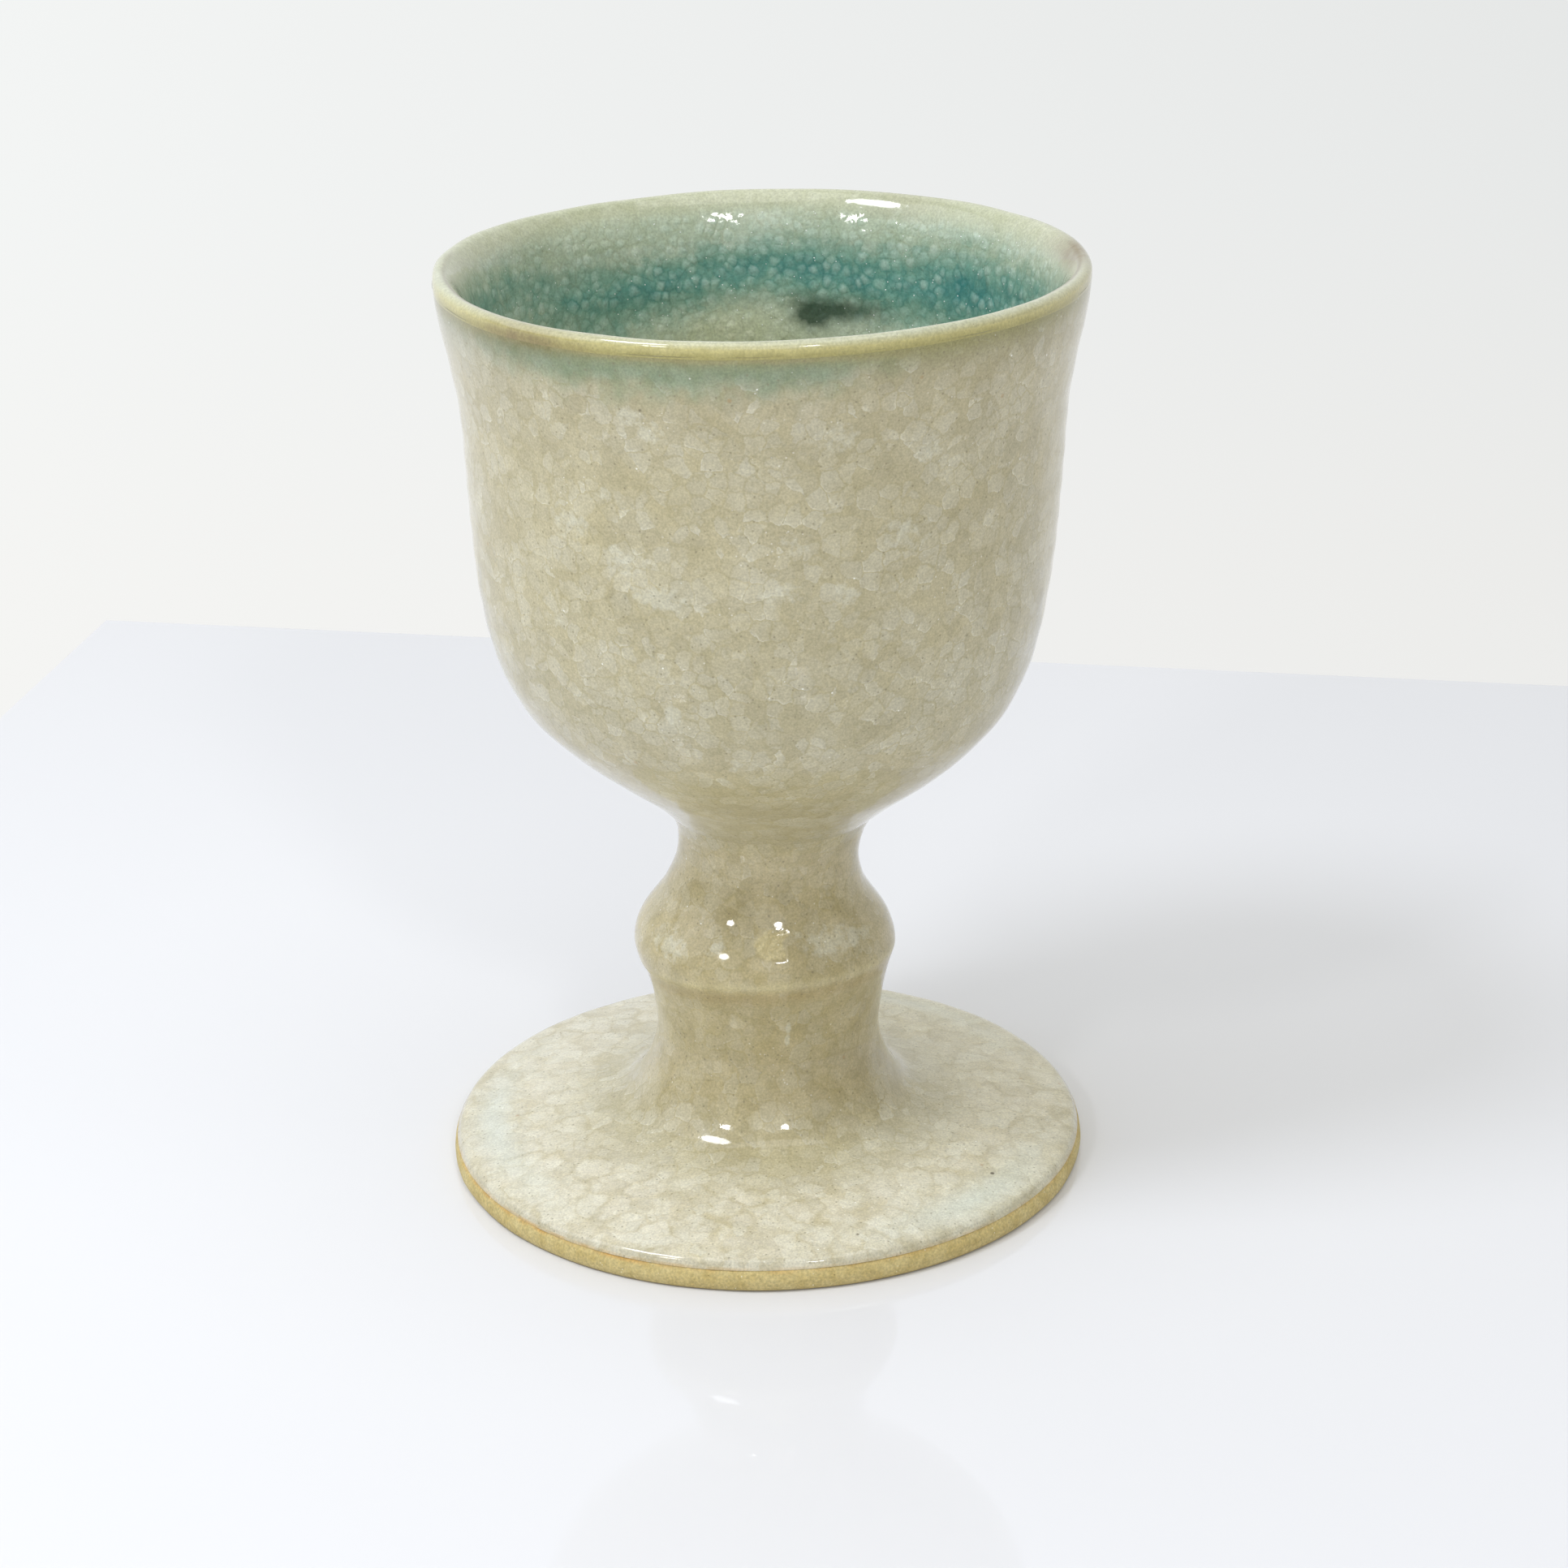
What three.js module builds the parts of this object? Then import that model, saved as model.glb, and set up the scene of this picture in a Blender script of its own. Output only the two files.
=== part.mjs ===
// Communion chalice: a wheel-thrown stoneware goblet made of three thrown
// members (bowl, knopped stem, foot) luted together with slip, lined with a
// turquoise crackle glaze and coated outside with one continuous ivory crackle
// glaze.  Millimetres, +Z up.  The origin is the centre of the foot's
// underside, so the chalice stands on z = 0.  The mouth opens towards +Z.

import * as THREE from 'three';

// ---------------------------------------------------------------- dimensions
const HEIGHT = 152.2;          // table to the top of the lip
const RIM_R = 51.0;            // outer radius of the lip
const LIP_BAND_Z = 150.05;     // where the outside glaze meets the liner on the lip
const LIP_SHOULDER_R = 1.17;   // rounding radius of the lip's outer shoulder
const LIP_LAND = 0.5;          // width of the flat land on top of the lip
const LAND_SHARE = 0.35;       // most of a shoulder's radius its half land may take

const FLOOR_Z = 66.5;          // inside bottom of the bowl
const BOWL_JOINT_Z = 60.0;     // luted joint between knopped stem and bowl
const NECK_R = 15.0;           // narrowest radius, just below the bowl
const KNOP_R = 21.7;           // widest radius of the knop
const KNOP_Z = 38.0;           // height of the widest ring of the knop
const KNOP_JOINT_Z = 35.0;     // luted joint between foot and knopped stem
const KNOP_CREASE_Z = KNOP_JOINT_Z - 1; // crease in the skin below the knop

const GLAZE_LINE_Z = 4.05;     // lower edge of the outside glaze on the foot
const FOOT_R = 53.1;           // widest radius of the bare clay edge of the foot
const FOOT_LEDGE_R = 51.6;     // inner radius of the ledge below the glaze edge
const REST_R_IN = 45.5;        // inner radius of the flat resting ring
const REST_R_OUT = 52.3;       // outer radius of the flat resting ring
const BORE_R = 13.0;           // radius of the open bore up through foot and stem

const GLAZE = 0.4;             // thickness of a glaze coat
const GAP = 0.3;               // clearance kept between neighbouring pieces
const CLAY_INSET = GLAZE + GAP; // depth of the clay below the glazed surface
const SLIP = 0.8;              // thickness of a luting-slip bed
const MEMBER_SETBACK = SLIP / 2 + GAP; // from a joint's height to the clay

const SEGMENTS = 40;           // facets around every turned piece
const RUN_STEP = 0.35;         // point spacing along a smooth run
const MIN_SPACING = 0.02;      // outline points closer than this are merged
const AXIS_TOLERANCE = 1e-6;   // radius below which a point lies on the axis
const SEEN = 0.12;             // chord tolerance of faces open to the air
const UNSEEN = 0.17;           // chord tolerance of faces buried between pieces

// The chalice was luted by eye, so its centre line wanders a little along X.
// Columns: [height, shift].  The foot is centred and the bowl sits to +X of it.
const CENTRE_LINE = [
  [0, 0], [8, 0], [20, 0.37], [34, 0.45], [43.5, -0.04], [51, 0.67], [60, 2.05],
  [67, 2.85], [78, 2.17], [90, 1.45], [105, 1.53], [126, 1.85], [HEIGHT, 1.95],
];

// ------------------------------------------------------------------ profiles
// Each run is a smooth curve through [radius, height] knots.  Runs meet in a
// crease.  The first three make the outside, from the glaze line to the lip.

const FOOT_RUN = [
  [52.35, GLAZE_LINE_Z], [52.05, 4.7], [51.2, 5.2], [49.5, 5.6], [45.0, 6.3],
  [40.0, 6.95], [35.0, 7.55], [30.0, 8.3], [27.0, 8.95], [25.0, 9.65],
  [23.4, 10.75], [22.2, 12.1], [21.2, 13.7], [20.2, 15.7], [19.4, 17.8],
  [18.8, 20.2], [18.55, 22.5], [18.75, 25.0], [19.15, 28.0], [19.5, 30.0],
  [20.0, 32.0], [20.6, KNOP_CREASE_Z],
];
const KNOP_RUN = [
  [20.6, KNOP_CREASE_Z], [21.35, 35.9], [KNOP_R, KNOP_Z], [21.3, 40.0],
  [20.35, 42.0], [19.1, 44.0], [17.8, 46.0], [16.6, 48.0], [15.75, 50.0],
  [15.2, 52.0], [NECK_R, 54.0], [15.15, 56.0], [15.5, 58.0], [16.0, BOWL_JOINT_Z],
];
const BOWL_RUN = [
  [16.0, BOWL_JOINT_Z], [19.05, 62.9], [22.8, 66.0], [26.8, 69.0], [30.5, 72.0],
  [34.0, 75.1], [36.85, 78.0], [39.3, 81.1], [41.1, 84.1], [42.5, 87.3],
  [44.1, 92.5], [45.35, 98.8], [46.15, 105.0], [46.8, 114.0], [47.35, 123.0],
  [47.97, 132.0], [49.05, 138.2], [50.2, 144.0], [50.75, 147.2],
  [RIM_R, LIP_BAND_Z - GAP / 2],
];
// Inside of the bowl, from the middle of the floor to the land on the lip.
const INSIDE_RUN = [
  [0, FLOOR_Z], [6, FLOOR_Z + 0.15], [12, FLOOR_Z + 0.75], [18, 68.6],
  [25, 72.2], [31, 76.9], [35.5, 82.0], [38.6, 87.5], [40.7, 93.2],
  [42.0, 99.2], [42.8, 106], [43.3, 114], [43.65, 122.5], [44.05, 131],
  [44.4, 138], [45.1, 143], [46.1, 147.2], [46.85, 149.05], [47.65, 150.5],
  [48.5, 151.55], [RIM_R - LIP_SHOULDER_R - LIP_LAND / 2, HEIGHT],
];

// Dense, evenly spaced polyline through one run of knots.
function smooth(knots) {
  const curve = new THREE.CatmullRomCurve3(
    knots.map(([radius, z]) => new THREE.Vector3(radius, z, 0)), false, 'centripetal');
  const steps = Math.ceil(curve.getLength() / RUN_STEP);
  return curve.getSpacedPoints(steps).map((point) => [point.x, point.y]);
}

// Polyline moved sideways, to its left as it is walked (negative: right).
function offset(line, distance) {
  return line.map(([radius, z], i) => {
    const before = line[Math.max(0, i - 1)];
    const after = line[Math.min(line.length - 1, i + 1)];
    const run = after[0] - before[0];
    const rise = after[1] - before[1];
    const length = Math.hypot(run, rise);
    return [radius - (distance * rise) / length, z + (distance * run) / length];
  });
}

// Fewer points, keeping each dropped point within tolerance of its chord.
function thin(line, tolerance) {
  if (line.length < 3) return line;
  const first = line[0];
  const last = line[line.length - 1];
  const run = last[0] - first[0];
  const rise = last[1] - first[1];
  const length = Math.hypot(run, rise) || 1;
  let worst = 0;
  let split = -1;
  for (let i = 1; i < line.length - 1; i += 1) {
    const [radius, z] = line[i];
    const distance = Math.abs(run * (z - first[1]) - rise * (radius - first[0])) / length;
    if (distance > worst) {
      worst = distance;
      split = i;
    }
  }
  if (worst <= tolerance) return [first, last];
  return [
    ...thin(line.slice(0, split + 1), tolerance).slice(0, -1),
    ...thin(line.slice(split), tolerance),
  ];
}

// Part of a polyline between two heights.
function between(line, low, high) {
  return line.filter(([, z]) => z >= low && z <= high);
}

// Radius where a polyline first crosses a height, or its last radius if it never does.
function radiusAt(line, height) {
  for (let i = 1; i < line.length; i += 1) {
    const [startR, startZ] = line[i - 1];
    const [endR, endZ] = line[i];
    if ((startZ - height) * (endZ - height) <= 0 && startZ !== endZ) {
      return startR + ((endR - startR) * (height - startZ)) / (endZ - startZ);
    }
  }
  return line[line.length - 1][0];
}

// Quarter round of the lip's outer shoulder, from the top land outwards.
function shoulder(radius, steps) {
  const halfLand = Math.min(LIP_LAND / 2, radius * LAND_SHARE);
  const points = [];
  for (let i = 0; i <= steps; i += 1) {
    const angle = (1 - i / steps) * (Math.PI / 2);
    points.push([
      RIM_R - LIP_SHOULDER_R + halfLand + (radius - halfLand) * Math.cos(angle),
      HEIGHT - LIP_SHOULDER_R + radius * Math.sin(angle),
    ]);
  }
  return points;
}

const footSkin = smooth(FOOT_RUN);
const knopSkin = smooth(KNOP_RUN);
const bowlSkin = smooth(BOWL_RUN);
const outerSkin = [...footSkin, ...knopSkin.slice(1), ...bowlSkin.slice(1)];
const insideSkin = smooth(INSIDE_RUN);

// Buried line at a depth below the liner's surface, from the lip's outer
// shoulder over the lip and down to the axis.
function belowLiner(depth) {
  return [
    ...shoulder(LIP_SHOULDER_R - depth, 2).reverse(),
    ...thin(offset(insideSkin, -depth), UNSEEN).reverse().slice(1, -1),
    [0, FLOOR_Z - depth],
  ];
}

// ------------------------------------------------------------------- turning
// Shift of the centre line along X at a height: a cubic through its knots.
function centreShift(z) {
  const knots = CENTRE_LINE;
  const last = knots.length - 1;
  let i = 0;
  while (i < last - 1 && z > knots[i + 1][0]) i += 1;
  const slope = (j) => {
    if (j === 0 || j === last) return 0;
    return (knots[j + 1][1] - knots[j - 1][1]) / (knots[j + 1][0] - knots[j - 1][0]);
  };
  const [startZ, startShift] = knots[i];
  const [endZ, endShift] = knots[i + 1];
  const span = endZ - startZ;
  const along = Math.min(1, Math.max(0, (z - startZ) / span));
  return (2 * along ** 3 - 3 * along ** 2 + 1) * startShift
    + (along ** 3 - 2 * along ** 2 + along) * span * slope(i)
    + (-2 * along ** 3 + 3 * along ** 2) * endShift
    + (along ** 3 - along ** 2) * span * slope(i + 1);
}

// Outline without near-repeated points, walked so that the faces point outwards.
function orient(outline) {
  const ring = outline.filter(([radius, z], i) => i === 0
    || Math.hypot(radius - outline[i - 1][0], z - outline[i - 1][1]) > MIN_SPACING);
  let doubleArea = 0;
  ring.forEach(([radius, z], i) => {
    const [nextR, nextZ] = ring[(i + 1) % ring.length];
    doubleArea += radius * nextZ - nextR * z;
  });
  return doubleArea > 0 ? ring : ring.reverse();
}

// Open path for the lathe: from axis to axis, or a ring closed on its first point.
function lathePath(ring) {
  const onAxis = ring.map(([radius]) => radius < AXIS_TOLERANCE);
  if (onAxis.filter(Boolean).length < 2) return [...ring, ring[0]];
  const start = onAxis.findIndex((touches, i) => touches && !onAxis[(i + 1) % ring.length]);
  return [...ring.slice(start), ...ring.slice(0, start)];
}

// Solid turned about the wandering centre line from a closed outline.
function turned(outline) {
  const path = lathePath(orient(outline));
  const geometry = new THREE.LatheGeometry(
    path.map(([radius, z]) => new THREE.Vector2(Math.max(0, radius), z)), SEGMENTS);
  geometry.rotateX(Math.PI / 2);
  const position = geometry.getAttribute('position');
  for (let i = 0; i < position.count; i += 1) {
    position.setX(i, position.getX(i) + centreShift(position.getZ(i)));
  }
  geometry.computeVertexNormals();
  return geometry;
}

// ------------------------------------------------------------ piece outlines
// Thrown disc flaring up into the lower stem, hollowed underneath so that it
// stands on a flat outer ring, with the bore running up through the stem.
function footOutline() {
  const ledgeZ = GLAZE_LINE_Z - GAP;
  const topZ = KNOP_JOINT_Z - MEMBER_SETBACK;
  const clay = offset(footSkin, CLAY_INSET);
  const flare = between(clay, ledgeZ, topZ)
    .filter(([radius, z]) => z < topZ - 0.1 && radius < FOOT_LEDGE_R);
  return [
    // Resting ring and bare clay edge.
    [REST_R_IN, 0], [REST_R_OUT, 0], [52.85, 0.5], [FOOT_R, 1.4], [53.0, 2.6],
    [52.6, 3.4], [52.2, ledgeZ], [FOOT_LEDGE_R, ledgeZ],
    ...thin(flare, UNSEEN),
    // Top face, then down the bore and out along the hollow underside.
    [radiusAt(clay, topZ - 0.15), topZ], [BORE_R, topZ], [BORE_R - 0.4, 24],
    [BORE_R, 15], [15.2, 10.2], [19.5, 7.0], [26, 4.7], [34, 3.5], [41, 2.3], [44, 1.2],
  ];
}

// Hollow-thrown member: knop below, waisted neck above.
function stemOutline() {
  const lowZ = KNOP_JOINT_Z + MEMBER_SETBACK;
  const highZ = BOWL_JOINT_Z - MEMBER_SETBACK;
  const clay = offset(knopSkin, CLAY_INSET);
  return [
    [BORE_R + 0.2, lowZ], [radiusAt(clay, lowZ), lowZ],
    ...thin(between(clay, lowZ + 0.3, highZ - 0.3), UNSEEN),
    [radiusAt(clay, highZ - 0.1), highZ],
    // Down the hollow inside.
    [9.9, highZ], [9.3, 54], [10.3, 48.6], [13.4, 43.6], [15.0, 40.2], [15.1, 38.0],
  ];
}

// Thrown cup with a solid bottom that closes the top of the bore.
function bowlOutline() {
  const lowZ = BOWL_JOINT_Z + MEMBER_SETBACK;
  const clay = offset(bowlSkin, CLAY_INSET);
  return [
    [0, lowZ], [radiusAt(clay, lowZ + 0.15), lowZ],
    ...thin(between(clay, lowZ + 0.4, HEIGHT - LIP_SHOULDER_R - 1), UNSEEN),
    ...belowLiner(CLAY_INSET),
  ];
}

// Bed of slip centred on a joint, given its bore and outer radii going up.
function slipOutline(jointZ, innerR, [lowR, middleR, highR]) {
  const lowZ = jointZ - SLIP / 2;
  const highZ = jointZ + SLIP / 2;
  return [[innerR, lowZ], [lowR, lowZ], [middleR, jointZ], [highR, highZ], [innerR, highZ]];
}

// One continuous coat from the glaze line on the foot to the lip band.
function outerGlazeOutline() {
  return [
    ...thin(outerSkin, SEEN),
    ...thin(offset(outerSkin, GLAZE), UNSEEN).reverse(),
  ];
}

// Coats the inside of the bowl, turns over the lip and stops just outside it.
function linerOutline() {
  const edgeZ = LIP_BAND_Z + GAP / 2;
  return [
    ...thin(insideSkin, SEEN), ...shoulder(LIP_SHOULDER_R, 3),
    [RIM_R, edgeZ], [RIM_R - GLAZE, edgeZ],
    ...belowLiner(GLAZE),
  ];
}

// ----------------------------------------------------------------- materials
function ceramic(color, roughness) {
  return new THREE.MeshStandardMaterial({ color, roughness, metalness: 0 });
}

const stoneware = () => ceramic('#d2b272', 0.78);
const slipClay = () => ceramic('#c2a878', 0.9);
const ivoryGlaze = () => ceramic('#c8bea6', 0.16);
const turquoiseGlaze = () => ceramic('#7fb0a8', 0.12);

// ------------------------------------------------------------------ assembly
const chalice = new THREE.Group();
chalice.name = 'communion_chalice';

function add(name, outline, material) {
  const mesh = new THREE.Mesh(turned(outline), material);
  mesh.name = name;
  chalice.add(mesh);
}

const knopSlip = slipOutline(KNOP_JOINT_Z, BORE_R + 0.5, [19.4, 19.7, 19.8]);
const bowlSlip = slipOutline(BOWL_JOINT_Z, 10.3, [14.5, 14.8, 14.9]);

add('foot', footOutline(), stoneware());
add('stem_knop', stemOutline(), stoneware());
add('bowl', bowlOutline(), stoneware());
add('slip_joint_knop', knopSlip, slipClay());
add('slip_joint_bowl', bowlSlip, slipClay());
add('outer_glaze', outerGlazeOutline(), ivoryGlaze());
add('liner_glaze', linerOutline(), turquoiseGlaze());

export default chalice;
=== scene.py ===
"""A glazed stoneware chalice: flared foot, knopped stem and deep bowl.

It stands on z = 0 with its front towards -Y; its centre line drifts a little to +X going up.
Profiles and patterns are in millimetres; meshes, lights and camera are in metres.
"""
import bpy
import math
from functools import cached_property
import numpy as np
from mathutils import Matrix, Vector


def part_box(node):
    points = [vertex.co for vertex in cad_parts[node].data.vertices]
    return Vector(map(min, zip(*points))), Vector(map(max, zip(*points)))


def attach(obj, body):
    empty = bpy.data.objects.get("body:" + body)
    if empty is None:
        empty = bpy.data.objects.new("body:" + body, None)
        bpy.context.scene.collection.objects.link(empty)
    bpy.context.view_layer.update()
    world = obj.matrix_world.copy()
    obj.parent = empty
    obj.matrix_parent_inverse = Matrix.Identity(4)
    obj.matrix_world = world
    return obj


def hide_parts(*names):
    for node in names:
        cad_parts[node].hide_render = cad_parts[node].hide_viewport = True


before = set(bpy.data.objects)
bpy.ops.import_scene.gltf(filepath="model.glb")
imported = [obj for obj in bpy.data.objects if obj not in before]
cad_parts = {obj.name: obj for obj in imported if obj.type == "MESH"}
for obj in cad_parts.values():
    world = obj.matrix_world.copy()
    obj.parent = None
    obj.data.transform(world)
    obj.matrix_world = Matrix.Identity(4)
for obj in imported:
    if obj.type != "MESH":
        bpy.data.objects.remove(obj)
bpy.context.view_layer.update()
MM = 0.001

# ---------------------------------------------------------------- sizes, mm
outer_lo, outer_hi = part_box("outer_glaze")
liner_lo, liner_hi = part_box("liner_glaze")
JOINT_GAP = 0.7                                      # joint centre to the clay on either side
CLAY_DEPTH = 0.7                                     # clay surface below the glaze surface
GLAZE = 0.4                                          # thickness of the glaze shells
LIP_TOP = liner_hi.z / MM
RIM_R = (liner_hi.x - liner_lo.x) / 2 / MM           # outer radius of the lip
RIM_X = (liner_hi.x + liner_lo.x) / 2 / MM           # the lip sits this far to +X
GLAZE_Z = outer_lo.z / MM                            # glaze line on the foot
JOINT_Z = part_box("foot")[1].z / MM + JOINT_GAP       # luted joint under the knop
BOWL_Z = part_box("bowl")[0].z / MM - JOINT_GAP        # luted joint under the bowl
BAND_Z = outer_hi.z / MM + 0.15                      # outside glaze meets the liner
LIP = 1.17                                           # radius of the lip's outer shoulder

# Centre line: height, shift to +X.
CENTRE = np.array([
    [0, 0], [8, 0], [20, 0.37], [34, 0.45], [43.5, -0.04], [51, 0.67], [60, 2.05],
    [67, 2.85], [78, 2.17], [90, 1.45], [105, 1.53], [126, 1.85], [152.2, RIM_X]])
# Profiles: radius, height.
FOOT = [
    [52.35, GLAZE_Z], [52.05, 4.7], [51.2, 5.2], [49.5, 5.6], [45.0, 6.3], [40.0, 6.95],
    [35.0, 7.55], [30.0, 8.3], [27.0, 8.95], [25.0, 9.65], [23.4, 10.75], [22.2, 12.1],
    [21.2, 13.7], [20.2, 15.7], [19.4, 17.8], [18.8, 20.2], [18.55, 22.5], [18.75, 25.0],
    [19.15, 28.0], [19.5, 30.0], [20.0, 32.0], [20.6, JOINT_Z - 1]]
KNOP = [
    [20.6, JOINT_Z - 1], [21.35, 35.9], [21.7, 38.0], [21.3, 40.0], [20.35, 42.0],
    [19.1, 44.0], [17.8, 46.0], [16.6, 48.0], [15.75, 50.0], [15.2, 52.0], [15.0, 54.0],
    [15.15, 56.0], [15.5, 58.0], [16.0, BOWL_Z]]
BOWL = [
    [16.0, BOWL_Z], [19.05, 62.9], [22.8, 66.0], [26.8, 69.0], [30.5, 72.0],
    [34.0, 75.1], [36.85, 78.0], [39.3, 81.1], [41.1, 84.1], [42.5, 87.3], [44.1, 92.5],
    [45.35, 98.8], [46.15, 105.0], [46.8, 114.0], [47.35, 123.0], [47.97, 132.0],
    [49.05, 138.2], [50.2, 144.0], [50.75, 147.2], [RIM_R, BAND_Z - 0.15]]
INSIDE = [
    [0.0, 66.5], [6, 66.65], [12, 67.25], [18, 68.6], [25, 72.2], [31, 76.9],
    [35.5, 82.0], [38.6, 87.5], [40.7, 93.2], [42.0, 99.2], [42.8, 106], [43.3, 114],
    [43.65, 122.5], [44.05, 131], [44.4, 138], [45.1, 143], [46.1, 147.2], [46.85, 149.05],
    [47.65, 150.5], [48.45, 151.5], [49.1, 152.02], [RIM_R - LIP, LIP_TOP]]


# ---------------------------------------------------------------- profile tools
def cubic(knots, values, at):
    """Natural cubic spline through (knots, values), read at the given parameters."""
    knots, values, at = (np.asarray(item, float) for item in (knots, values, at))
    count, gap = len(knots), np.diff(knots)
    system, target = np.eye(count), np.zeros(count)
    for i in range(1, count - 1):
        system[i, i - 1:i + 2] = gap[i - 1], 2 * (gap[i - 1] + gap[i]), gap[i]
        target[i] = 6 * ((values[i + 1] - values[i]) / gap[i]
                         - (values[i] - values[i - 1]) / gap[i - 1])
    bend = np.linalg.solve(system, target)
    i = np.clip(np.searchsorted(knots, at) - 1, 0, count - 2)
    ahead, past = knots[i + 1] - at, at - knots[i]
    return ((bend[i] * ahead ** 3 + bend[i + 1] * past ** 3) / (6 * gap[i])
            + (values[i] / gap[i] - bend[i] * gap[i] / 6) * ahead
            + (values[i + 1] / gap[i] - bend[i + 1] * gap[i] / 6) * past)


def run(points, step):
    """Smooth polyline through points; step is a spacing or a function of (radius, z)."""
    points = np.array(points, float)
    knots = np.concatenate([[0], np.cumsum(np.hypot(*np.diff(points, axis=0).T))])

    def curve(at):
        return np.stack([cubic(knots, points[:, 0], at), cubic(knots, points[:, 1], at)], -1)

    fine = np.linspace(0, knots[-1], 4000)
    if callable(step):
        spacing = np.array([step(radius, z) for radius, z in curve(fine)])
    else:
        spacing = np.full(len(fine), float(step))
    walked = np.concatenate([[0], np.cumsum(np.diff(fine) / spacing[1:])])
    count = int(math.ceil(walked[-1]))
    return curve(np.interp(np.linspace(0, walked[-1], count + 1), walked, fine))


def offset(line, distance):
    """Polyline moved to its left as walked."""
    along = np.gradient(line, axis=0)
    along /= np.linalg.norm(along, axis=1)[:, None] + 1e-12
    return line + distance * np.stack([-along[:, 1], along[:, 0]], -1)


def within(line, low, high=np.inf):
    """The points of a profile between two heights."""
    return line[(line[:, 1] > low) & (line[:, 1] < high)]


def sstep(start, end, x):
    """Smooth step from 0 at start to 1 at end; start may be the larger."""
    share = np.clip((np.asarray(x, float) - start) / (end - start), 0, 1)
    return share * share * (3 - 2 * share)


def bump(x, middle, width):
    return np.exp(-((x - middle) / width) ** 2)


def patch(x, x_middle, x_width, y, y_middle, y_width):
    """Two-way bump."""
    return np.exp(-((x - x_middle) / x_width) ** 2 - ((y - y_middle) / y_width) ** 2)


def centre(z):
    return cubic(CENTRE[:, 0], CENTRE[:, 1], np.clip(z, 0, CENTRE[-1, 0]))


def waves(count, low, high, seed, z_scale=1.0):
    """Smooth random field over (turn, z), low to high waves per turn, about -1 to 1."""
    random = np.random.default_rng(seed)
    per_turn = random.integers(low, high + 1, count)
    per_mm = random.uniform(-high, high, count) / 48.0 * z_scale
    phase = random.uniform(0, 2 * np.pi, count)
    size = random.uniform(0.5, 1, count)
    size /= np.sqrt((size ** 2).sum() / 2) * 1.6

    def field(turn, z):
        total = np.zeros(np.broadcast(turn, z).shape)
        for i in range(count):
            total += size[i] * np.sin(per_turn[i] * turn + per_mm[i] * z + phase[i])
        return total
    return field


def pebbles(count, low, high, seed):
    """Smooth random field over the plane, wavelengths from low to high mm."""
    random = np.random.default_rng(seed)
    pace = 2 * np.pi / random.uniform(low, high, count)
    way, phase = random.uniform(0, 2 * np.pi, count), random.uniform(0, 2 * np.pi, count)

    def field(x, y):
        total = np.zeros(np.broadcast(x, y).shape)
        for i in range(count):
            total += np.sin(pace[i] * (x * np.cos(way[i]) + y * np.sin(way[i])) + phase[i])
        return total / math.sqrt(count)
    return field


oval = waves(count=5, low=2, high=4, seed=3, z_scale=0.15)
lumps = waves(count=26, low=5, high=22, seed=4)
pucker = waves(count=60, low=18, high=64, seed=5)
ripple = waves(count=9, low=1, high=5, seed=6, z_scale=0.3)
dimples = pebbles(count=24, low=7.0, high=18.0, seed=12)


# turn is the azimuth: 0 at the back (+Y), positive towards +X, +-pi at the front.
def warp(turn, radius, z):
    """What the hand did to every turned piece: slightly oval, lip not quite level."""
    rise = sstep(60, 150, z)
    radius = radius * (1 + 0.0016 * oval(turn, z) * (0.25 + 0.75 * rise))
    return radius, z + 0.14 * sstep(132, 151, z) * ripple(turn, 150.0)


def bearing_of(turn):
    """Degrees from the front, positive to the right."""
    degrees = np.degrees(turn)
    return np.where(degrees > 0, 180 - degrees, -180 - degrees)


# ---------------------------------------------------------------- mesh tools
def add_mesh(name, points, faces, smooth=True):
    mesh = bpy.data.meshes.new(name)
    mesh.from_pydata(points, [], faces)
    mesh.update()
    if smooth:
        mesh.shade_smooth()
    ob = bpy.data.objects.new(name, mesh)
    bpy.context.scene.collection.objects.link(ob)
    return ob


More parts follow.
